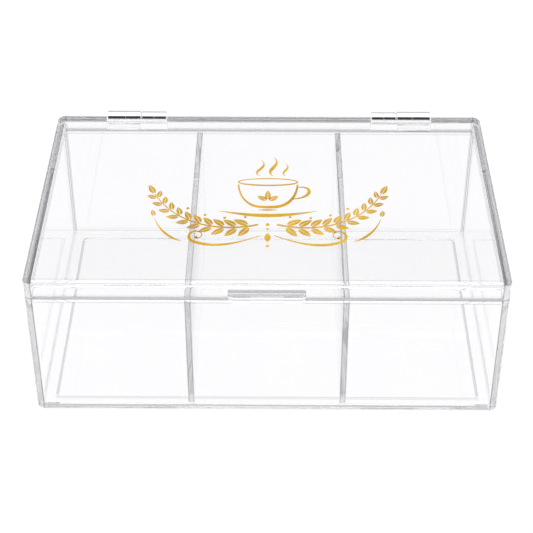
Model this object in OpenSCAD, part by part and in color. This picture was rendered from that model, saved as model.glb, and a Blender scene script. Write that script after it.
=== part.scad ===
// Clear tea bag box: one open tub with two upright partitions, closed by a
// hinged lid with a front finger tab. Two polished barrel hinges sit in notches
// in the rear edge of the lid. Millimetres, +Z up, front towards -Y.
// The origin is on the resting plane, under the middle of the whole object.

/* [Box] */
// Outside width of the box, left to right
box_w = 228; // [210:1:250]
// Outside depth of the box, front wall to back wall
box_d = 148; // [135:1:165]
// Height of the closed box, without the hinge barrels
box_h = 79.5; // [70:0.5:90]
// Thickness of the four upright walls
wall = 3.4; // [3:0.1:4]
// Outside radius of the upright corners
corner_r = 4; // [3.6:0.1:5]
// Inside radius of the upright corners and along the floor
inner_r = 1.2; // [1:0.1:3]
// Rounding of the outer bottom edge
foot_round = 1.9; // [1:0.1:1.9]
// Rounding of the outer edge at the rim of the tub
rim_round = 1.5; // [0.8:0.1:1.6]

/* [Floor] */
// Height of the inside floor above the table
floor_top = 3; // [2.8:0.1:4]
// Depth of the recess under the floor
recess = 0.9; // [0.4:0.1:1]
// Width of the foot rim around the recess
foot_w = 9; // [6:0.1:12]

/* [Lid] */
// Height of the lid from its lower edge to its top
lid_h = 9.1; // [8.6:0.1:9.6]
// Thickness of the lid's top plate
plate_t = 3; // [2.6:0.1:3.2]
// Rounding of the lid's upper outer edge
lid_round = 0.5; // [0.3:0.1:1]
// Inside radius between plate and skirt
lid_inner_r = 1.5; // [1:0.1:2.4]
// Gap between the closed lid and the rim of the tub
seam = 0.2; // [0.15:0.05:0.3]

/* [Finger tab] */
// Width of the tab
tab_w = 36.5; // [28:0.5:46]
// How far the tab and the hinge barrels stand out of the box
tab_out = 6; // [5.8:0.1:6.2]
// Thickness of the tab
tab_t = 3.9; // [3:0.1:4]
// How far the tab's top lies below the top of the lid
tab_drop = 2.9; // [2:0.1:4]
// Radius of the tab's two front corners
tab_r = 3.6; // [2.4:0.1:4.4]
// Width of the shallow finger groove under the tab
groove_w = 16.6; // [12:0.2:22]
// Depth of the finger groove
groove_deep = 0.7; // [0.3:0.1:1]

/* [Partitions] */
// Thickness of a partition
part_t = 3; // [2.6:0.1:3.2]
// Distance of each partition's middle plane from the middle of the box
part_x = 37.4; // [36:0.1:40]
// How far the partition's top edge lies below the rim of the tub
part_drop = 0.5; // [0.3:0.1:2]

/* [Hinges] */
// Distance of each hinge's middle from the middle of the box
hinge_x = 71.5; // [66:0.5:78]
// Length of the outer knuckle, which is bonded to the tub
outer_len = 18.2; // [16:0.1:20]
// Length of the inner knuckle, which is bonded to the lid
inner_len = 13.5; // [11:0.1:15]
// Axial gap between the two knuckles
knuckle_gap = 0.3; // [0.2:0.05:0.5]
// Outer radius of the outer knuckle
outer_rad = 4.4; // [4.3:0.05:4.5]
// Outer radius of the inner knuckle
inner_rad = 4.15; // [3.9:0.05:4.2]
// Radius of the hinge pin
pin_rad = 1.25; // [1:0.05:1.4]
// Radial clearance of the pin in the knuckle that turns
pin_clear = 0.05; // [0.03:0.01:0.08]
// Depth of the hinge axis below the top of the lid
axis_down = 2.7; // [2.6:0.05:2.8]
// Height of the clear ears that carry the outer knuckles, above the rim
ear_up = 4.4; // [3.6:0.1:4.6]

/* [Hidden] */
$fn = 96;
eps = 0.01;
rim_z = box_h - lid_h - seam;              // top of the tub's walls
lid_z = box_h - lid_h;                     // lower edge of the closed lid
axis_y = box_d / 2 + tab_out - outer_rad;  // hinge axis
axis_z = box_h - axis_down;
notch_y = axis_y - outer_rad - 0.3;        // front face of the notches
hinge_len = outer_len + knuckle_gap + inner_len;
notch_side = 0.4;                          // room beside each barrel
part_len = box_d - 2 * wall;
tab_z = box_h - tab_drop - tab_t;           // underside of the finger tab
ear_y = notch_y + 0.4;                     // front face of the ears

// Box with rounded upright corners, from z = 0 to h
module rprism(w, d, h, r) {
    translate([-w/2 + r, -d/2, 0]) cube([w - 2*r, d, h]);
    translate([-w/2, -d/2 + r, 0]) cube([w, d - 2*r, h]);
    for (sx = [-1, 1], sy = [-1, 1])
        translate([sx*(w/2 - r), sy*(d/2 - r), 0]) cylinder(r = r, h = h);
}

// Cross-section w wide and h high, its lower corners rounded by fb and its
// upper ones by ft; a radius of 0 leaves them square
module section(w, h, fb, ft) {
    translate([-w/2, fb]) square([w, h - fb - ft]);
    translate([-w/2 + fb, 0]) square([w - 2*fb, h/2]);
    translate([-w/2 + ft, h/2]) square([w - 2*ft, h/2]);
    for (s = [-1, 1]) {
        if (fb > 0) translate([s*(w/2 - fb), fb]) circle(r = fb);
        if (ft > 0) translate([s*(w/2 - ft), h - ft]) circle(r = ft);
    }
}

// Half of that section, for a corner post turned about its own axis
module half_section(r, h, fb, ft) {
    translate([0, fb]) square([r, h - fb - ft]);
    square([r - fb, h/2]);
    translate([0, h/2]) square([r - ft, h/2]);
    if (fb > 0) translate([r - fb, fb]) circle(r = fb);
    if (ft > 0) translate([r - ft, h - ft]) circle(r = ft);
}

// Box with rounded upright corners and rounded lower and upper outer edges
module rbox2(w, d, h, r, fb, ft) {
    translate([-w/2 + r, 0, 0]) rotate([90, 0, 90]) linear_extrude(w - 2*r) section(d, h, fb, ft);
    translate([0, d/2 - r, 0]) rotate([90, 0, 0]) linear_extrude(d - 2*r) section(w, h, fb, ft);
    for (sx = [-1, 1], sy = [-1, 1])
        translate([sx*(w/2 - r), sy*(d/2 - r), 0]) rotate_extrude() half_section(r, h, fb, ft);
}

// Hollow with the radius r at its upright corners and along its lower edge
module hollow(w, d, h, r) {
    translate([0, 0, r]) rprism(w, d, h - r, r);
    translate([-w/2 + r, -d/2 + r, 0]) cube([w - 2*r, d - 2*r, h]);
    for (s = [-1, 1]) {
        translate([-w/2 + r, s*(d/2 - r), r]) rotate([0, 90, 0]) cylinder(r = r, h = w - 2*r);
        translate([s*(w/2 - r), d/2 - r, r]) rotate([90, 0, 0]) cylinder(r = r, h = d - 2*r);
    }
    for (sx = [-1, 1], sy = [-1, 1])
        translate([sx*(w/2 - r), sy*(d/2 - r), r]) sphere(r = r);
}

module tub() {
    color([0.93, 0.94, 0.96, 0.35])
    difference() {
        rbox2(box_w, box_d, rim_z, corner_r, foot_round, rim_round);
        translate([0, 0, floor_top])
            hollow(box_w - 2*wall, box_d - 2*wall, rim_z, inner_r);
        translate([0, 0, -1])
            rprism(box_w - 2*foot_w, box_d - 2*foot_w, recess + 1, 3);
    }
    for (s = [-1, 1]) color([0.93, 0.94, 0.96, 0.35]) ear(s);
}

// Ear that rises from the rear wall into the lid's notch and holds the outer
// knuckle in a saddle of the knuckle's own radius
module ear(s) {
    x0 = s > 0 ? hinge_x + hinge_len/2 - outer_len : -hinge_x - hinge_len/2;
    difference() {
        translate([x0 + 0.6, ear_y, rim_z - 3]) cube([outer_len - 1.2, box_d/2 - ear_y, 3 + ear_up]);
        translate([x0 - 1, axis_y, axis_z]) rotate([0, 90, 0]) cylinder(r = outer_rad, h = outer_len + 2);
    }
}

// Partition: a flat panel between front and back wall, standing on the floor
module divider(x) {
    r = inner_r + 0.4;
    color([0.93, 0.94, 0.96, 0.35])
    translate([x - part_t/2, 0, floor_top]) {
        h = rim_z - part_drop - floor_top;
        translate([0, -part_len/2, r]) cube([part_t, part_len, h - r]);
        translate([0, -part_len/2 + r, 0]) cube([part_t, part_len - 2*r, h]);
        for (s = [-1, 1])
            translate([0, s*(part_len/2 - r), r]) rotate([0, 90, 0]) cylinder(r = r, h = part_t);
    }
}
module left_divider() divider(-part_x);
module right_divider() divider(part_x);

// Finger tab: a flat tongue with two rounded front corners
module tab() {
    y0 = -box_d/2;
    difference() {
        union() {
            translate([-tab_w/2, y0 - tab_out + tab_r, tab_z]) cube([tab_w, tab_out - tab_r + 1.5, tab_t]);
            translate([-tab_w/2 + tab_r, y0 - tab_out, tab_z]) cube([tab_w - 2*tab_r, tab_out, tab_t]);
            for (s = [-1, 1])
                translate([s*(tab_w/2 - tab_r), y0 - tab_out + tab_r, tab_z]) cylinder(r = tab_r, h = tab_t);
        }
        // shallow groove under the front edge
        translate([-groove_w/2, y0 - tab_out - 1, tab_z - 1]) cube([groove_w, 4, groove_deep + 1]);
    }
}

module lid() {
    color([0.93, 0.94, 0.96, 0.35])
    difference() {
        union() {
            translate([0, 0, lid_z]) rbox2(box_w, box_d, lid_h, corner_r, 0.3, lid_round);
            tab();
        }
        // hollow under the plate
        translate([0, 0, box_h - plate_t]) mirror([0, 0, 1])
            hollow(box_w - 2*wall, box_d - 2*wall, lid_h, lid_inner_r);
        // notches for the hinge barrels
        for (s = [-1, 1])
            translate([s*hinge_x - hinge_len/2 - notch_side, notch_y, lid_z - 1])
                cube([hinge_len + 2*notch_side, 10, lid_h + 2]);
    }
}

// Barrel along +X from x = 0, with chamfered ends and a through bore
module barrel(len, rad, bore) {
    c = 0.45;
    rotate([90, 0, 90]) rotate_extrude()
        polygon([[bore, 0], [rad - c, 0], [rad, c], [rad, len - c], [rad - c, len], [bore, len]]);
}

// Knuckle of the tub: plain barrel, bonded in the saddle of its ear
module tub_knuckle(s) {
    x0 = s > 0 ? hinge_x + hinge_len/2 - outer_len : -hinge_x - hinge_len/2;
    color([0.86, 0.87, 0.89])
        translate([x0, axis_y, axis_z]) barrel(outer_len, outer_rad, pin_rad - 0.01);
}

// Knuckle of the lid: barrel with a tongue that meets the notch's front face
module lid_knuckle(s) {
    x0 = s > 0 ? hinge_x - hinge_len/2 : -hinge_x + hinge_len/2 - inner_len;
    color([0.86, 0.87, 0.89]) {
        translate([x0, axis_y, axis_z]) barrel(inner_len, inner_rad, pin_rad + pin_clear);
        translate([x0 + 0.6, notch_y, axis_z - 1.6])
            cube([inner_len - 1.2, box_d/2 - 0.1 - notch_y, 2.6]);
    }
}

// Pin through both knuckles, fixed in the tub's one
module pin(s) {
    inset = 0.4;
    x0 = s > 0 ? hinge_x - hinge_len/2 + inset : -hinge_x - hinge_len/2 + inset;
    color([0.7, 0.71, 0.73])
        translate([x0, axis_y, axis_z]) rotate([0, 90, 0]) cylinder(r = pin_rad, h = hinge_len - 2*inset);
}

module left_hinge_tub_knuckle() tub_knuckle(-1);
module left_hinge_lid_knuckle() lid_knuckle(-1);
module left_hinge_pin() pin(-1);
module right_hinge_tub_knuckle() tub_knuckle(1);
module right_hinge_lid_knuckle() lid_knuckle(1);
module right_hinge_pin() pin(1);

tub();
left_divider();
right_divider();
lid();
left_hinge_tub_knuckle();
left_hinge_lid_knuckle();
left_hinge_pin();
right_hinge_tub_knuckle();
right_hinge_lid_knuckle();
right_hinge_pin();
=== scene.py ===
import math
import random

import bmesh
import bpy
from mathutils import Matrix, Vector


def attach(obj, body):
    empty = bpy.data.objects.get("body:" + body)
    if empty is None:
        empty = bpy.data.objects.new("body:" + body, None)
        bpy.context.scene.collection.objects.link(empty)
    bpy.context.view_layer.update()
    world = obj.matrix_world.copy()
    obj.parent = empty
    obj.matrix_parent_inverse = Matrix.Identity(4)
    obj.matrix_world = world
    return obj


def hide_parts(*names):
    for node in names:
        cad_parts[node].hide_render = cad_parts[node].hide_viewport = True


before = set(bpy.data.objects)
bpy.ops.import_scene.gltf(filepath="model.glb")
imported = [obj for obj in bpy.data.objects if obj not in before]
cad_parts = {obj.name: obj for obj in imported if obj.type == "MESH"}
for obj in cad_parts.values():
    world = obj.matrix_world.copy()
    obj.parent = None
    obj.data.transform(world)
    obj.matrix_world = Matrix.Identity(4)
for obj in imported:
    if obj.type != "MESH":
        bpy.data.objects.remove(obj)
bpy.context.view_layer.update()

MM = 0.001
scene = bpy.context.scene

# ---------------------------------------------------------------- sizes, mm
W, D, H = 228.0, 148.0, 79.5
WALL, CORNER, INNER = 3.4, 4.0, 1.2
FOOT_ROUND, RIM_ROUND = 1.9, 1.5
FLOOR_TOP, RECESS, FOOT_W = 3.0, 0.9, 9.0
LID_H, PLATE, LID_ROUND, LID_LOW, LID_INNER, SEAM = 9.1, 3.0, 0.5, 0.3, 1.5, 0.2
TAB_W, TAB_OUT, TAB_T, TAB_R, TAB_DROP = 36.5, 6.0, 3.9, 3.6, 2.9
PART_T, PART_X, PART_DROP = 3.0, 37.4, 0.5
HINGE_X, OUTER_LEN, INNER_LEN, GAP = 71.5, 18.2, 13.5, 0.3
OUTER_RAD, INNER_RAD, PIN_RAD = 4.4, 4.15, 1.25
RIM_Z, LID_Z = H - LID_H - SEAM, H - LID_H
AXIS_Y, AXIS_Z = D / 2 + TAB_OUT - OUTER_RAD, H - 2.7
TAB_Z = H - TAB_DROP - TAB_T
NOTCH_Y = AXIS_Y - OUTER_RAD - 0.3
EAR_Y, EAR_UP = NOTCH_Y + 0.4, 4.4
HINGE_LEN = OUTER_LEN + GAP + INNER_LEN


# ---------------------------------------------------------------- mesh tools
def new_object(name, bm, smooth=True):
    bmesh.ops.recalc_face_normals(bm, faces=bm.faces)
    me = bpy.data.meshes.new(name)
    bm.to_mesh(me)
    bm.free()
    for p in me.polygons:
        p.use_smooth = smooth
    ob = bpy.data.objects.new(name, me)
    scene.collection.objects.link(ob)
    return ob


def ring(hw, hd, r, z, n):
    """Rounded rectangle as 4 * (n + 1) points, counter-clockwise."""
    r = max(r, 0.0)
    pts = []
    for k, (sx, sy) in enumerate(((1, 1), (-1, 1), (-1, -1), (1, -1))):
        for i in range(n + 1):
            a = math.radians(90 * (k + i / n))
            pts.append((sx * (hw - r) + r * math.cos(a), sy * (hd - r) + r * math.sin(a), z))
    return pts


def arc(n, a0=0.0, a1=90.0):
    return [math.radians(a0 + (a1 - a0) * i / n) for i in range(n + 1)]


def loft(rings, name):
    """A closed solid: quads from ring to ring, and a flat face on the first and the last."""
    bm = bmesh.new()
    rows = [[bm.verts.new((x * MM, y * MM, z * MM)) for x, y, z in r] for r in rings]
    n = len(rows[0])
    for a, b in zip(rows, rows[1:]):
        for i in range(n):
            j = (i + 1) % n
            bm.faces.new((a[i], a[j], b[j], b[i]))
    bm.faces.new(rows[0])
    bm.faces.new(list(reversed(rows[-1])))
    bmesh.ops.remove_doubles(bm, verts=bm.verts, dist=1e-7)
    bmesh.ops.dissolve_degenerate(bm, dist=1e-7, edges=bm.edges)
    return new_object(name, bm)


def extrude_outline(pts, z0, z1, name, plane="XY"):
    """Prism of a 2D outline. plane says which axes the outline lies in."""
    bm = bmesh.new()

    def put(u, v, w):
        if plane == "XY":
            return (u * MM, v * MM, w * MM)
        return (w * MM, u * MM, v * MM)          # outline in Y and Z, depth along X
    lo = [bm.verts.new(put(u, v, z0)) for u, v in pts]
    hi = [bm.verts.new(put(u, v, z1)) for u, v in pts]
    n = len(pts)
    bm.faces.new(lo)
    bm.faces.new(list(reversed(hi)))
    for i in range(n):
        j = (i + 1) % n
        bm.faces.new((lo[i], hi[i], hi[j], lo[j]))
    return new_object(name, bm)


def revolve_x(profile, x0, cy, cz, name, n=96):
    """Ring around an axis along X. profile holds (along, radius) points of a closed outline."""
    bm = bmesh.new()
    rows = []
    for k in range(n):
        a = 2 * math.pi * k / n
        rows.append([bm.verts.new(((x0 + t) * MM, (cy + r * math.cos(a)) * MM, (cz + r * math.sin(a)) * MM))
                     for t, r in profile])
    m = len(profile)
    for k in range(n):
        a, b = rows[k], rows[(k + 1) % n]
        for i in range(m):
            j = (i + 1) % m
            bm.faces.new((a[i], a[j], b[j], b[i]))
    return new_object(name, bm)


def box_mm(x0, x1, y0, y1, z0, z1, name):
    return extrude_outline([(x0, y0), (x1, y0), (x1, y1), (x0, y1)], z0, z1, name)


def apply_modifiers(ob):
    dg = bpy.context.evaluated_depsgraph_get()
    dg.update()
    me = bpy.data.meshes.new_from_object(ob.evaluated_get(dg), preserve_all_data_layers=True, depsgraph=dg)
    old = ob.data
    ob.modifiers.clear()
    ob.data = me
    bpy.data.meshes.remove(old)


def boolean(ob, other, op):
    m = ob.modifiers.new("bool", "BOOLEAN")
    m.operation, m.solver, m.object = op, "EXACT", other
    apply_modifiers(ob)
    bpy.data.objects.remove(other)


def finish_edges(ob, width, segments=3, angle=32):
    """Small round on every sharp edge, and normals that keep the large faces flat."""
    bm = bmesh.new()
    bm.from_mesh(ob.data)
    bmesh.ops.remove_doubles(bm, verts=bm.verts, dist=2e-7)
    bmesh.ops.dissolve_limit(bm, angle_limit=math.radians(0.5), verts=bm.verts, edges=bm.edges)
    bm.to_mesh(ob.data)
    bm.free()
    if width:
        m = ob.modifiers.new("bevel", "BEVEL")
        m.width, m.segments, m.limit_method, m.angle_limit = width * MM, segments, "ANGLE", math.radians(angle)
        m.use_clamp_overlap = True
        m.miter_outer = "MITER_ARC"
    m = ob.modifiers.new("normals", "WEIGHTED_NORMAL")
    m.keep_sharp, m.weight = False, 80
    for p in ob.data.polygons:
        p.use_smooth = True
    apply_modifiers(ob)
    for p in ob.data.polygons:
        p.use_smooth = True


# ---------------------------------------------------------------- materials
def node_material(name):
    mat = bpy.data.materials.new(name)
    mat.use_nodes = True
    nt = mat.node_tree
    bsdf = nt.nodes["Principled BSDF"]
    return mat, nt, bsdf


def add(nt, kind, **values):
    n = nt.nodes.new(kind)
    for k, v in values.items():
        if k in n.inputs:
            n.inputs[k].default_value = v
        else:
            setattr(n, k, v)
    return n


def ramp(nt, stops):
    n = nt.nodes.new("ShaderNodeValToRGB")
    el = n.color_ramp.elements
    while len(el) < len(stops):
        el.new(0.5)
    for e, (p, c) in zip(el, stops):
        e.position = p
        e.color = c if len(c) == 4 else (*c, 1)
    return n


def painted_shade_lines(nt, co, levels, insets=(), corners=True, ends=()):
    """Painted shade: dark lines along the edges where the mould's faces meet, at heights, beside the plate's rim and at
    the upright corners.
    Sizes in mm in the piece's own coordinates, so they stay on it when it moves."""
    def calc(op, a, b=None, c=None):
        n = nt.nodes.new("ShaderNodeMath")
        n.operation = op
        for i, v in enumerate((a, b, c)):
            if isinstance(v, (int, float)):
                n.inputs[i].default_value = v
            elif v is not None:
                nt.links.new(v, n.inputs[i])
        return n.outputs[0]
    sep = nt.nodes.new("ShaderNodeSeparateXYZ")
    nt.links.new(co.outputs["Object"], sep.inputs[0])
    ax, ay = calc("ABSOLUTE", sep.outputs["X"]), calc("ABSOLUTE", sep.outputs["Y"])

    # each band is a painted shade line, darkest along its middle
    def band(value, at, half, strength):
        d = calc("ABSOLUTE", calc("SUBTRACT", value, at * MM))
        m = nt.nodes.new("ShaderNodeMapRange")
        m.interpolation_type = "SMOOTHSTEP"
        m.inputs["From Min"].default_value, m.inputs["From Max"].default_value = half * 0.4 * MM, half * MM
        m.inputs["To Min"].default_value, m.inputs["To Max"].default_value = strength, 0.0
        nt.links.new(d, m.inputs["Value"])
        return m.outputs["Result"]
    total = None

    def take(v):
        nonlocal total
        total = v if total is None else calc("MAXIMUM", total, v)
    outer = calc("MINIMUM", calc("SUBTRACT", W / 2 * MM, ax), calc("SUBTRACT", D / 2 * MM, ay))
    for z, half, strength in levels:
        take(band(sep.outputs["Z"], z, half, strength))
    for d, half, strength, above in insets:
        gate = calc("GREATER_THAN", sep.outputs["Z"], above * MM) if above > 0 else calc("LESS_THAN", sep.outputs["Z"], -above * MM)
        take(calc("MULTIPLY", band(outer, d, half, strength), gate))
    for at, half, strength in ends:                      # end faces of a panel that stands at PART_X
        off = calc("ABSOLUTE", calc("SUBTRACT", ax, PART_X * MM))
        take(band(off, at, half, strength))
    if corners:
        near_x = calc("GREATER_THAN", ax, (W / 2 - WALL - 0.6) * MM)
        near_y = calc("GREATER_THAN", ay, (D / 2 - WALL - 0.6) * MM)
        take(calc("MULTIPLY", band(ax, W / 2 - CORNER + 0.2, 0.34, 0.8), near_y))
        take(calc("MULTIPLY", band(ay, D / 2 - CORNER + 0.2, 0.34, 0.8), near_x))
        post = calc("MULTIPLY", calc("GREATER_THAN", ax, (W / 2 - 1.9) * MM), calc("GREATER_THAN", ay, (D / 2 - 1.9) * MM))
        take(calc("MULTIPLY", band(calc("SUBTRACT", ax, ay), (W - D) / 2, 0.42, 0.7), post))
    return total


def acrylic(name, tint, wave=0.05, rough=(0.004, 0.02), lines=None):
    """Clear moulded acrylic: faint flow waves in the surface, a little haze from handling and painted dark shade lines
    along the edges.
    """
    mat, nt, b = node_material(name)
    b.inputs["Transmission Weight"].default_value = 1.0
    b.inputs["IOR"].default_value = 1.49
    b.inputs["Specular IOR Level"].default_value = 0.5
    co = add(nt, "ShaderNodeTexCoord")
    haze = add(nt, "ShaderNodeTexNoise", Scale=34.0, Detail=4.0, Roughness=0.6)
    nt.links.new(co.outputs["Object"], haze.inputs["Vector"])
    colour = ramp(nt, [(0.3, tint), (0.7, tuple(min(1.0, c * 1.006) for c in tint))])
    nt.links.new(haze.outputs["Fac"], colour.inputs["Fac"])
    tone = colour.outputs["Color"]
    if lines:
        # painted shade: the base colour turns dark grey along the painted shade lines
        mix = nt.nodes.new("ShaderNodeMix")
        mix.data_type = "RGBA"
        nt.links.new(painted_shade_lines(nt, co, **lines), mix.inputs["Factor"])
        nt.links.new(tone, mix.inputs["A"])
        mix.inputs["B"].default_value = (0.13, 0.13, 0.155, 1)
        tone = mix.outputs["Result"]
    nt.links.new(tone, b.inputs["Base Color"])
    r = add(nt, "ShaderNodeMapRange")
    r.inputs["To Min"].default_value, r.inputs["To Max"].default_value = rough
    nt.links.new(haze.outputs["Fac"], r.inputs["Value"])
    nt.links.new(r.outputs["Result"], b.inputs["Roughness"])
    flow = add(nt, "ShaderNodeTexNoise", Scale=9.0, Detail=1.0, Roughness=0.4)
    stretch = add(nt, "ShaderNodeMapping")
    stretch.inputs["Scale"].default_value = (1.0, 1.6, 2.2)
    nt.links.new(co.outputs["Object"], stretch.inputs["Vector"])
    nt.links.new(stretch.outputs["Vector"], flow.inputs["Vector"])
    bump = add(nt, "ShaderNodeBump", Strength=wave, Distance=0.0006)
    nt.links.new(flow.outputs["Fac"], bump.inputs["Height"])
    nt.links.new(bump.outputs["Normal"], b.inputs["Normal"])
    return mat


def chrome(name, base=(0.83, 0.835, 0.85), rough=(0.05, 0.13)):
    """Polished plate with fine turning marks and a few duller patches."""
    mat, nt, b = node_material(name)
    b.inputs["Metallic"].default_value = 1.0
    co = add(nt, "ShaderNodeTexCoord")
    lines = add(nt, "ShaderNodeTexWave", Scale=900.0, Distortion=1.2, Detail=2.0)
    lines.wave_type, lines.bands_direction = "BANDS", "X"
    nt.links.new(co.outputs["Object"], lines.inputs["Vector"])
    patch = add(nt, "ShaderNodeTexNoise", Scale=260.0, Detail=5.0, Roughness=0.65)
    nt.links.new(co.outputs["Object"], patch.inputs["Vector"])
    tone = ramp(nt, [(0.35, tuple(c * 0.9 for c in base)), (0.62, base)])
    nt.links.new(patch.outputs["Fac"], tone.inputs["Fac"])
    nt.links.new(tone.outputs["Color"], b.inputs["Base Color"])
    r = add(nt, "ShaderNodeMapRange")
    r.inputs["To Min"].default_value, r.inputs["To Max"].default_value = rough
    nt.links.new(patch.outputs["Fac"], r.inputs["Value"])
    nt.links.new(r.outputs["Result"], b.inputs["Roughness"])
    bump = add(nt, "ShaderNodeBump", Strength=0.05, Distance=0.00002)
    nt.links.new(lines.outputs["Fac"], bump.inputs["Height"])
    nt.links.new(bump.outputs["Normal"], b.inputs["Normal"])
    return mat


def gold_print(name):
    """Metallic gold print: slightly grainy pigment with lighter and darker drifts."""
    mat, nt, b = node_material(name)
    b.inputs["Metallic"].default_value = 0.92
    b.inputs["Specular IOR Level"].default_value = 0.5
    co = add(nt, "ShaderNodeTexCoord")
    grain = add(nt, "ShaderNodeTexNoise", Scale=2600.0, Detail=2.0, Roughness=0.7)
    drift = add(nt, "ShaderNodeTexNoise", Scale=55.0, Detail=3.0, Roughness=0.55)
    for n in (grain, drift):
        nt.links.new(co.outputs["Object"], n.inputs["Vector"])
    mixed = add(nt, "ShaderNodeMath", operation="MULTIPLY_ADD")
    mixed.inputs[1].default_value = 0.35
    nt.links.new(grain.outputs["Fac"], mixed.inputs[0])
    nt.links.new(drift.outputs["Fac"], mixed.inputs[2])
    tone = ramp(nt, [(0.42, (0.50, 0.28, 0.008)), (0.62, (0.64, 0.37, 0.016)), (0.82, (0.80, 0.50, 0.05))])
    nt.links.new(mixed.outputs["Value"], tone.inputs["Fac"])
    nt.links.new(tone.outputs["Color"], b.inputs["Base Color"])
    r = add(nt, "ShaderNodeMapRange")
    r.inputs["To Min"].default_value, r.inputs["To Max"].default_value = 0.34, 0.56
    nt.links.new(grain.outputs["Fac"], r.inputs["Value"])
    nt.links.new(r.outputs["Result"], b.inputs["Roughness"])
    bump = add(nt, "ShaderNodeBump", Strength=0.25, Distance=0.00002)
    nt.links.new(grain.outputs["Fac"], bump.inputs["Height"])
    nt.links.new(bump.outputs["Normal"], b.inputs["Normal"])
    return mat


def plain_floor(name):
    """Backlit white acrylic table: nearly even light, so what stands on it throws no shadow, with painted extra light
    under the box.
    """
    mat, nt, b = node_material(name)
    co = add(nt, "ShaderNodeTexCoord")
    n = add(nt, "ShaderNodeTexNoise", Scale=3.0, Detail=3.0)
    nt.links.new(co.outputs["Object"], n.inputs["Vector"])
    c = ramp(nt, [(0.3, (0.045, 0.045, 0.046)), (0.7, (0.055, 0.055, 0.055))])
    nt.links.new(n.outputs["Fac"], c.inputs["Fac"])
    nt.links.new(c.outputs["Color"], b.inputs["Base Color"])
    b.inputs["Roughness"].default_value = 0.9
    b.inputs["Specular IOR Level"].default_value = 0.0
    b.inputs["Emission Color"].default_value = (1.0, 1.0, 1.0, 1)
    # painted light: the emission is a little stronger under the box, to make up for what its floor and lid hold back
    sep = nt.nodes.new("ShaderNodeSeparateXYZ")
    nt.links.new(co.outputs["Object"], sep.inputs[0])
    reach = None
    for axis, half in (("X", W / 2 * MM), ("Y", D / 2 * MM)):
        m = add(nt, "ShaderNodeMath", operation="ABSOLUTE")
        nt.links.new(sep.outputs[axis], m.inputs[0])
        k = add(nt, "ShaderNodeMath", operation="DIVIDE")
        nt.links.new(m.outputs[0], k.inputs[0])
        k.inputs[1].default_value = half
        if reach:
            top = add(nt, "ShaderNodeMath", operation="MAXIMUM")
            nt.links.new(reach, top.inputs[0])
            nt.links.new(k.outputs[0], top.inputs[1])
            reach = top.outputs[0]
        else:
            reach = k.outputs[0]
    painted_light_under_box = add(nt, "ShaderNodeMapRange")
    painted_light_under_box.inputs["From Min"].default_value, painted_light_under_box.inputs["From Max"].default_value = 0.93, 1.12
    painted_light_under_box.inputs["To Min"].default_value, painted_light_under_box.inputs["To Max"].default_value = 1.005, 0.985
    nt.links.new(reach, painted_light_under_box.inputs["Value"])
    nt.links.new(painted_light_under_box.outputs["Result"], b.inputs["Emission Strength"])
    return mat


# painted shade: each lines entry puts dark shade lines into the acrylic's colour at these heights, insets and panel
# ends
SHELL = acrylic("clear_shell", (0.990, 0.990, 0.998), lines={
    "levels": [(RIM_Z - RIM_ROUND - 0.1, 0.38, 0.45), (RIM_Z - 0.1, 0.3, 0.5), (FOOT_ROUND + 0.3, 0.34, 0.28), (0.6, 0.28, 0.2), (FLOOR_TOP + 0.5, 0.3, 0.3)],
    "insets": [(FOOT_W, 0.95, 0.30, -RECESS - 0.2), (FOOT_W + 0.7, 0.3, 0.55, -RECESS - 0.2)]})
LID_SHELL = acrylic("clear_lid", (0.990, 0.990, 0.998), lines={
    "levels": [(LID_Z + 0.15, 0.42, 0.6), (LID_Z + 1.0, 0.3, 0.15), (H - 0.55, 0.3, 0.14)],
    "insets": [(0.5, 0.3, 0.18, H - 0.25), (WALL + 0.4, 0.36, 0.45, H - 0.25)]})
PANEL = acrylic("clear_panel", (0.985, 0.985, 0.993), wave=0.02, lines={
    "levels": [(RIM_Z - PART_DROP - 0.15, 0.3, 0.3)], "corners": False, "ends": [(1.12, 0.34, 0.72), (0.25, 0.22, 0.30)]})
CHROME = chrome("bright_hinge")
STEEL = chrome("steel_pin", base=(0.56, 0.565, 0.58), rough=(0.18, 0.3))
GOLD = gold_print("gold_ornament")


def dress(ob, mat, body, slot, *nodes):
    ob.data.materials.clear()
    ob.data.materials.append(mat)
    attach(ob, body)
    if nodes:
        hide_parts(*nodes)


# ---------------------------------------------------------------- tub
def tub_rings():
    n, hw, hd = 14, W / 2, D / 2
    out = [ring(hw - FOOT_W - 0.7, hd - FOOT_W - 0.7, 2.3, RECESS, n), ring(hw - FOOT_W + 0.7, hd - FOOT_W + 0.7, 3.7, 0, n)]
    f = FOOT_ROUND
    for a in arc(8):
        s, c = math.sin(a), math.cos(a)
        out.append(ring(hw - f + f * s, hd - f + f * s, CORNER - f + f * s, f - f * c, n))
    f = RIM_ROUND
    for a in arc(8):
        s, c = math.sin(a), math.cos(a)
        out.append(ring(hw - f + f * c, hd - f + f * c, CORNER - f + f * c, RIM_Z - f + f * s, n))
    iw, idd = hw - WALL, hd - WALL
    out.append(ring(iw, idd, INNER, RIM_Z, n))
    f = INNER
    for a in arc(10):
        s, c = math.sin(a), math.cos(a)
        out.append(ring(iw - f + f * c, idd - f + f * c, f * c, FLOOR_TOP + f - f * s, n))
    return out


tub = loft(tub_rings(), "tub_shell")
finish_edges(tub, 0.22)


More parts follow.
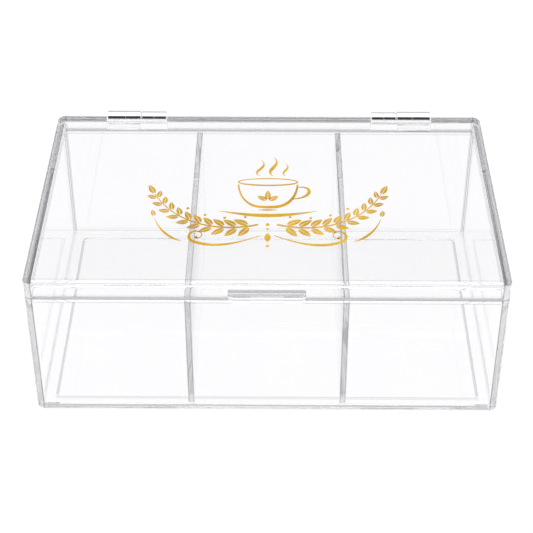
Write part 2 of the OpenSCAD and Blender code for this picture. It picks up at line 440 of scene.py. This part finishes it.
def ear(s):
    """Ear of the rear wall in the lid's notch, with a saddle for the outer knuckle."""
    x0 = (HINGE_X + HINGE_LEN / 2 - OUTER_LEN if s > 0 else -HINGE_X - HINGE_LEN / 2) + 0.6
    x1, a0 = x0 + OUTER_LEN - 1.2, math.asin((RIM_Z + EAR_UP - AXIS_Z) / OUTER_RAD)
    a1 = -math.acos((D / 2 - AXIS_Y) / OUTER_RAD)
    pts = [(D / 2, RIM_Z - 3.0), (EAR_Y, RIM_Z - 3.0), (EAR_Y, RIM_Z + EAR_UP)]
    a0 = -math.pi - a0
    for i in range(13):
        a = a0 + (a1 - a0) * i / 12
        pts.append((AXIS_Y + (OUTER_RAD + 0.01) * math.cos(a), AXIS_Z + (OUTER_RAD + 0.01) * math.sin(a)))
    pts[-1] = (D / 2, pts[-1][1])
    return extrude_outline(pts, x0, x1, "ear_tmp", plane="YZ")


for s in (-1, 1):
    boolean(tub, ear(s), "UNION")
finish_edges(tub, 0)
dress(tub, SHELL, "base", "clear_shell", "tub")


# ---------------------------------------------------------------- partitions
def partition(x, name, node):
    g = 0.06                                   # hairline left by the solvent joint
    y1 = D / 2 - WALL - g
    z0, z1 = FLOOR_TOP + g, RIM_Z - PART_DROP
    r = INNER + 0.4
    pts = []
    for a in arc(10, 180, 270):
        pts.append((-y1 + r + r * math.cos(a), z0 + r + r * math.sin(a)))
    for a in arc(10, 270, 360):
        pts.append((y1 - r + r * math.cos(a), z0 + r + r * math.sin(a)))
    pts += [(y1, z1), (-y1, z1)]
    ob = extrude_outline(pts, x - PART_T / 2, x + PART_T / 2, name, plane="YZ")
    finish_edges(ob, 0.3)
    dress(ob, PANEL, "base", "clear_panel", node)
    return ob


partition(-PART_X, "left_partition", "left_divider")
partition(PART_X, "right_partition", "right_divider")


# ---------------------------------------------------------------- lid
def lid_rings():
    n, hw, hd = 14, W / 2, D / 2
    out = []
    f = LID_ROUND
    for a in reversed(arc(8)):
        s, c = math.sin(a), math.cos(a)
        out.append(ring(hw - f + f * c, hd - f + f * c, CORNER - f + f * c, H - f + f * s, n))
    f = LID_LOW
    for a in arc(5):
        s, c = math.sin(a), math.cos(a)
        out.append(ring(hw - f + f * c, hd - f + f * c, CORNER - f + f * c, LID_Z + f - f * s, n))
    iw, idd, f = hw - WALL, hd - WALL, LID_INNER
    out.append(ring(iw, idd, f, LID_Z, n))
    for a in arc(8):
        s, c = math.sin(a), math.cos(a)
        out.append(ring(iw - f + f * c, idd - f + f * c, f * c, H - PLATE - f + f * s, n))
    return out


def tab_solid():
    """Finger tab: rounded plan, rounded edges, shallow groove under its front."""
    y0 = -D / 2
    e = 0.7

    def outline(inset):
        r = TAB_R - inset
        x1, yf = TAB_W / 2 - inset, y0 - TAB_OUT + inset
        pts = [(x1, y0 + 1.4)]
        pts = [(-x1, y0 + 1.4)]
        for a in arc(10, 180, 270):
            pts.append((-x1 + r + r * math.cos(a), yf + r + r * math.sin(a)))
        for a in arc(10, 270, 360):
            pts.append((x1 - r + r * math.cos(a), yf + r + r * math.sin(a)))
        pts.append((x1, y0 + 1.4))
        return pts
    rings = []
    for a in arc(6):
        rings.append([(x, y, TAB_Z + e - e * math.cos(a)) for x, y in outline(e - e * math.sin(a))])
    for a in arc(6):
        rings.append([(x, y, TAB_Z + TAB_T - e + e * math.sin(a)) for x, y in outline(e - e * math.cos(a))])
    return loft(rings, "tab_tmp")


lid = loft(lid_rings(), "lid_shell")
tab = tab_solid()
groove = loft([ring(8.3, 2.6, 1.2, -2.0, 8), ring(8.3, 2.6, 1.2, 0.35, 8), ring(7.9, 2.2, 0.8, 0.7, 8)], "groove_tmp")
groove.data.transform(Matrix.Translation((0, (-D / 2 - TAB_OUT + 1.2) * MM, TAB_Z * MM)))
boolean(tab, groove, "DIFFERENCE")
boolean(lid, tab, "UNION")
for s in (-1, 1):
    x0 = s * HINGE_X - HINGE_LEN / 2 - 0.4
    boolean(lid, box_mm(x0, x0 + HINGE_LEN + 0.8, NOTCH_Y, NOTCH_Y + 10, LID_Z - 2, H + 2, "notch_tmp"), "DIFFERENCE")
finish_edges(lid, 0.2)
dress(lid, LID_SHELL, "lid", "clear_shell", "lid")


# ---------------------------------------------------------------- hinges
def barrel_profile(length, rad, bore, split):
    """Outline (along, radius) of a barrel with rounded ends and one fine turned line."""
    c, pts = 0.5, [(0.0, bore)]
    for a in arc(6):
        pts.append((c - c * math.cos(a), rad - c + c * math.sin(a)))
    pts += [(split - 0.16, rad), (split - 0.05, rad - 0.13), (split + 0.05, rad - 0.13), (split + 0.16, rad)]
    for a in arc(6):
        pts.append((length - c + c * math.sin(a), rad - c + c * math.cos(a)))
    pts.append((length, bore))
    return pts


def hinge(s, side):
    # outer knuckle, on the tub
    x0 = HINGE_X + HINGE_LEN / 2 - OUTER_LEN if s > 0 else -HINGE_X - HINGE_LEN / 2
    split = 8.4 if s > 0 else OUTER_LEN - 8.4
    k = revolve_x(barrel_profile(OUTER_LEN, OUTER_RAD, PIN_RAD + 0.02, split), x0, AXIS_Y, AXIS_Z, side + "_outer_knuckle")
    finish_edges(k, 0)
    dress(k, CHROME, "base", "bright_hinge", side + "_hinge_tub_knuckle")
    # inner knuckle, on the lid
    x0 = HINGE_X - HINGE_LEN / 2 if s > 0 else -HINGE_X + HINGE_LEN / 2 - INNER_LEN
    k = revolve_x(barrel_profile(INNER_LEN, INNER_RAD, PIN_RAD + 0.05, INNER_LEN / 2), x0, AXIS_Y, AXIS_Z, side + "_inner_knuckle")
    tongue = box_mm(x0 + 0.6, x0 + INNER_LEN - 0.6, NOTCH_Y + 0.03, D / 2 - 0.1, AXIS_Z - 1.6, AXIS_Z + 1.0, "tongue_tmp")
    finish_edges(tongue, 0.25, 2)
    boolean(k, tongue, "UNION")
    finish_edges(k, 0)
    dress(k, CHROME, "lid", "bright_hinge", side + "_hinge_lid_knuckle")


hinge(-1, "left")
hinge(1, "right")
for side in ("left", "right"):
    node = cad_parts[side + "_hinge_pin"]
    node.data.materials.clear()
    node.data.materials.append(STEEL)


# ---------------------------------------------------------------- ornament on the lid
# Every figure is a strip in the lid's plane, given as its left and its right edge.
def bezier(p0, p1, p2, p3, n):
    out = []
    for i in range(n + 1):
        t = i / n
        a, b, c, d = (1 - t) ** 3, 3 * t * (1 - t) ** 2, 3 * t * t * (1 - t), t ** 3
        out.append((a * p0[0] + b * p1[0] + c * p2[0] + d * p3[0], a * p0[1] + b * p1[1] + c * p2[1] + d * p3[1]))
    return out


def resample(path, step):
    """Points along a path at equal distances."""
    out, left = [path[0]], step
    for (x0, y0), (x1, y1) in zip(path, path[1:]):
        seg = math.hypot(x1 - x0, y1 - y0)
        at = 0.0
        while seg - at >= left:
            at += left
            out.append((x0 + (x1 - x0) * at / seg, y0 + (y1 - y0) * at / seg))
            left = step
        left -= seg - at
    return out


def headings(path):
    out = []
    for i in range(len(path)):
        (ax, ay), (bx, by) = path[max(0, i - 1)], path[min(len(path) - 1, i + 1)]
        k = math.hypot(bx - ax, by - ay) or 1.0
        out.append(((bx - ax) / k, (by - ay) / k))
    return out


def stroke(path, width):
    """Pen stroke along a path. width(t) is its full width at t from 0 to 1."""
    left, right, n = [], [], len(path) - 1
    for i, ((x, y), (tx, ty)) in enumerate(zip(path, headings(path))):
        w = width(i / n) / 2
        left.append((x - ty * w, y + tx * w))
        right.append((x + ty * w, y - tx * w))
    return left, right


def swell(low, high, peak=0.5):
    def f(t):
        u = t / peak if t < peak else (1 - t) / (1 - peak)
        return low + (high - low) * math.sin(math.pi / 2 * max(0.0, u)) ** 1.3
    return f


def leaf(x, y, angle, length, width, bend=0.0):
    """Two halves of a leaf on either side of a hairline vein."""
    ca, sa = math.cos(angle), math.sin(angle)
    halves = []
    for side in (1, -1):
        vein, edge = [], []
        for i in range(11):
            t = 0.03 + 0.97 * i / 10
            g = 0.06 + 0.10 * (1 - t) ** 0.7
            w = 0.12 + width / 2 * max(0.0, math.sin(math.pi * t ** 0.82)) ** 0.9
            for row, v in ((vein, side * g), (edge, side * (g + w))):
                u, v = t * length, v + bend * length * t * t
                row.append((x + u * ca - v * sa, y + u * sa + v * ca))
        halves.append((edge, vein) if side > 0 else (vein, edge))
    return halves


def blob(x, y, r, k=1.0):
    left, right = [], []
    for i in range(13):
        a = math.pi * (0.03 + 0.94 * i / 12)
        left.append((x - r * math.cos(a), y + r * k * math.sin(a)))
        right.append((x - r * math.cos(a), y - r * k * math.sin(a)))
    return left, right


def spiral(x, y, r0, r1, a0, a1, n):
    out = []
    for i in range(n + 1):
        t = i / n
        a, r = math.radians(a0 + (a1 - a0) * t), r0 + (r1 - r0) * t
        out.append((x + r * math.cos(a), y + r * math.sin(a)))
    return out


def cup_figures():
    out = []
    left, right = [], []
    for i in range(49):
        a = 2 * math.pi * i / 48
        nx, ny = math.cos(a) / 15.0, math.sin(a) / 2.6
        k, w = math.hypot(nx, ny), 0.34 + 0.18 * max(0.0, -math.sin(a))
        x, y = 15.0 * math.cos(a), 13.0 + 2.6 * math.sin(a)
        left.append((x - nx / k * w, y - ny / k * w))
        right.append((x + nx / k * w, y + ny / k * w))
    out.append((left, right))
    bowl = bezier((-15.0, 11.0), (-14.2, 1.0), (-10.0, -4.6), (-4.8, -5.6), 18) \
        + bezier((-4.8, -5.6), (-1.6, -6.1), (1.6, -6.1), (4.8, -5.6), 8)[1:] \
        + bezier((4.8, -5.6), (10.0, -4.6), (14.2, 1.0), (15.0, 11.0), 18)[1:]
    out.append(stroke(bowl, lambda t: 0.95 + 0.95 * math.sin(math.pi * t) ** 2 + 0.3 * math.sin(math.pi * (t * 2 + 1))))
    out.append(stroke([(-4.6 + 9.2 * i / 8, -8.0) for i in range(9)], swell(0.3, 1.1)))
    top, low = [], []
    for i in range(29):
        x, c = -24 + 48 * i / 28, math.cos(math.pi * (i / 28 - 0.5))
        top.append((x, -8.8 - 2.1 * c))
        low.append((x, -9.0 - 4.3 * c))
    out.append((top, low))
    out.append(stroke(bezier((15.4, 8.8), (22.5, 11.0), (23.5, 1.0), (12.6, 0.2), 22), swell(0.6, 1.7, 0.55)))
    out.append(stroke(bezier((-4.4, 17.6), (-9.4, 22.0), (1.4, 24.0), (-3.6, 30.0), 20), swell(0.2, 1.6, 0.45)))
    out.append(stroke(bezier((2.4, 17.6), (-2.6, 22.8), (8.0, 25.4), (3.0, 32.6), 22), swell(0.2, 1.9, 0.45)))
    out.append(stroke(bezier((8.8, 17.8), (5.2, 21.0), (12.6, 22.8), (9.2, 27.4), 18), swell(0.2, 1.3, 0.45)))
    for a, k in ((90, 6.8), (36, 5.4), (144, 5.4)):
        a = math.radians(a)
        out += leaf(0.9 * math.cos(a), -1.4 + 0.9 * math.sin(a), a, k, 2.5)
    return out


def garland_figures():
    """Branch with leaves and berries, and the scroll below it, for the right-hand side."""
    out = []
    stem = resample(bezier((4.6, -18.6), (22.0, -24.0), (45.0, -20.0), (57.0, 4.0), 120), 1.0)
    head = headings(stem)
    out.append(stroke(stem[::2] + stem[-1:], lambda t: 1.2 - 0.75 * t))
    last = len(stem) - 1
    for k, i in enumerate(range(5, last - 1, 6)):
        (x, y), (tx, ty) = stem[i], head[i]
        size = 7.9 - 0.34 * k
        for side in (1, -1):
            a = math.atan2(ty, tx) + side * math.radians(44)
            gap = 0.9 - 0.03 * k
            out += leaf(x - ty * side * gap, y + tx * side * gap, a, size, 3.1 - 0.1 * k, -0.09 * side)
        if k % 2 and k < 9:
            a = math.atan2(ty, tx) + math.radians(112)
            (bx, by) = stem[i - 2]
            out.append(blob(bx + math.cos(a) * 7.6, by + math.sin(a) * 7.6, 0.75))
    (x, y), (tx, ty) = stem[-1], head[-1]
    out += leaf(x + tx * 0.5, y + ty * 0.5, math.atan2(ty, tx), 7.0, 2.6)
    scroll = bezier((3.4, -26.4), (13.0, -31.0), (24.0, -35.6), (34.98, -30.95), 24) + spiral(34.2, -26.5, 4.52, 1.4, -80, 290, 30)[1:]
    out.append(stroke(scroll, lambda t: 0.5 + 1.2 * math.sin(math.pi * min(1.0, t * 1.22)) ** 2))
    out.append(blob(34.2 + 1.35 * math.cos(math.radians(290)), -26.5 + 1.35 * math.sin(math.radians(290)), 0.85))
    out.append(stroke(bezier((41.5, -30.4), (47.5, -28.4), (53.0, -22.6), (55.5, -14.5), 18), swell(0.25, 1.3, 0.35)))
    out += leaf(56.0, -12.6, math.radians(73), 4.4, 1.9)
    return out


def ornament():
    """Gold print, 0.05 mm thick, on the lid's upper face."""
    side = garland_figures()
    strips = cup_figures() + side + [([(-x, y) for x, y in r], [(-x, y) for x, y in l]) for l, r in side]
    drop = [(math.sin(math.pi * (0.02 + 0.96 * i / 12)), i / 12) for i in range(13)]
    strips.append(([(-0.1 - 1.5 * w, -30.6 + 5.8 * t) for w, t in drop], [(0.1 + 1.5 * w, -30.6 + 5.8 * t) for w, t in drop]))
    strips += [blob(0.0, -33.6, 0.8), blob(0.0, -18.6, 1.0), blob(0.0, -21.8, 0.6)]
    z0, z1 = H + 0.0005, H + 0.05

    def solid(chosen, name):
        bm = bmesh.new()
        for left, right in chosen:
            rows = []
            for z in (z0, z1):
                rows.append([[bm.verts.new((x * MM, ((y + 0.3) * 1.17 - 4.9) * MM, z * MM)) for x, y in edge] for edge in (left, right)])
            (la, ra), (lb, rb) = rows
            n = len(la)
            for i in range(n - 1):
                bm.faces.new((la[i], ra[i], ra[i + 1], la[i + 1]))
                bm.faces.new((lb[i], lb[i + 1], rb[i + 1], rb[i]))
                bm.faces.new((la[i], la[i + 1], lb[i + 1], lb[i]))
                bm.faces.new((ra[i], rb[i], rb[i + 1], ra[i + 1]))
            bm.faces.new((la[0], lb[0], rb[0], ra[0]))
            bm.faces.new((la[-1], ra[-1], rb[-1], lb[-1]))
        bmesh.ops.remove_doubles(bm, verts=bm.verts, dist=1e-7)
        return new_object(name, bm, smooth=False)
    ob = solid(strips[:1], "gold_ornament")
    rest = solid(strips[1:], "figures_tmp")
    m = ob.modifiers.new("merge", "BOOLEAN")
    m.operation, m.solver, m.object, m.use_self = "UNION", "EXACT", rest, True
    apply_modifiers(ob)
    bpy.data.objects.remove(rest)
    bm = bmesh.new()
    bm.from_mesh(ob.data)
    bmesh.ops.remove_doubles(bm, verts=bm.verts, dist=1e-7)
    bmesh.ops.dissolve_limit(bm, angle_limit=math.radians(0.3), verts=bm.verts, edges=bm.edges)
    bm.to_mesh(ob.data)
    bm.free()
    dress(ob, GOLD, "lid", "gold_ornament")


ornament()

# ---------------------------------------------------------------- studio
def studio():
    bm = bmesh.new()
    bmesh.ops.create_grid(bm, x_segments=8, y_segments=8, size=6.0)
    floor = new_object("studio_floor", bm, smooth=False)
    floor.location.z = -0.0003
    floor.data.materials.append(plain_floor("studio_white"))

    world = bpy.data.worlds.new("studio")
    scene.world = world
    world.use_nodes = True
    nt = world.node_tree
    bg = nt.nodes["Background"]
    tc = nt.nodes.new("ShaderNodeTexCoord")
    sep = nt.nodes.new("ShaderNodeSeparateXYZ")
    nt.links.new(tc.outputs["Generated"], sep.inputs[0])

    def smooth(value, lo, hi, a, b):
        m = nt.nodes.new("ShaderNodeMapRange")
        m.interpolation_type = "SMOOTHSTEP"
        m.inputs["From Min"].default_value, m.inputs["From Max"].default_value = lo, hi
        m.inputs["To Min"].default_value, m.inputs["To Max"].default_value = a, b
        nt.links.new(value, m.inputs["Value"])
        return m.outputs["Result"]

    def math_node(op, a, b):
        m = nt.nodes.new("ShaderNodeMath")
        m.operation = op
        for i, v in enumerate((a, b)):
            if isinstance(v, (int, float)):
                m.inputs[i].default_value = v
            else:
                nt.links.new(v, m.inputs[i])
        return m.outputs["Value"]
    zenith = smooth(sep.outputs["Z"], 0.70, 0.93, 0.0, 2.2)
    base = smooth(sep.outputs["Z"], 0.10, 0.60, 1.02, 0.66)
    dot = nt.nodes.new("ShaderNodeVectorMath")
    dot.operation = "DOT_PRODUCT"
    a = math.radians(44)
    dot.inputs[1].default_value = (0.0, -math.cos(a), math.sin(a))
    nt.links.new(tc.outputs["Generated"], dot.inputs[0])
    dark = smooth(dot.outputs["Value"], 0.84, 0.93, 1.0, 0.06)
    total = math_node("MULTIPLY", math_node("ADD", base, zenith), dark)
    nt.links.new(total, bg.inputs["Strength"])
    bg.inputs["Color"].default_value = (0.985, 0.99, 1.0, 1)


studio()

# ---------------------------------------------------------------- camera
F_PX = 1475.4
cam_data = bpy.data.cameras.new("camera")
cam_data.sensor_width = 36.0
cam_data.sensor_fit = "HORIZONTAL"
cam_data.lens = F_PX / 533 * 36.0
cam_data.clip_start, cam_data.clip_end = 0.01, 50
cam = bpy.data.objects.new("camera", cam_data)
cam.location = (0.00375, -0.6110, 0.5022)
cam.rotation_euler = (math.radians(90 - 37.49), 0, math.radians(0.42))
scene.collection.objects.link(cam)
scene.camera = cam

scene.view_settings.view_transform = "Standard"
scene.view_settings.look = "None"
scene.cycles.max_bounces = 60
scene.cycles.transmission_bounces = 32
scene.cycles.glossy_bounces = 48
scene.cycles.diffuse_bounces = 4
scene.cycles.transparent_max_bounces = 16
scene.cycles.use_denoising = True

bpy.context.view_layer.update()
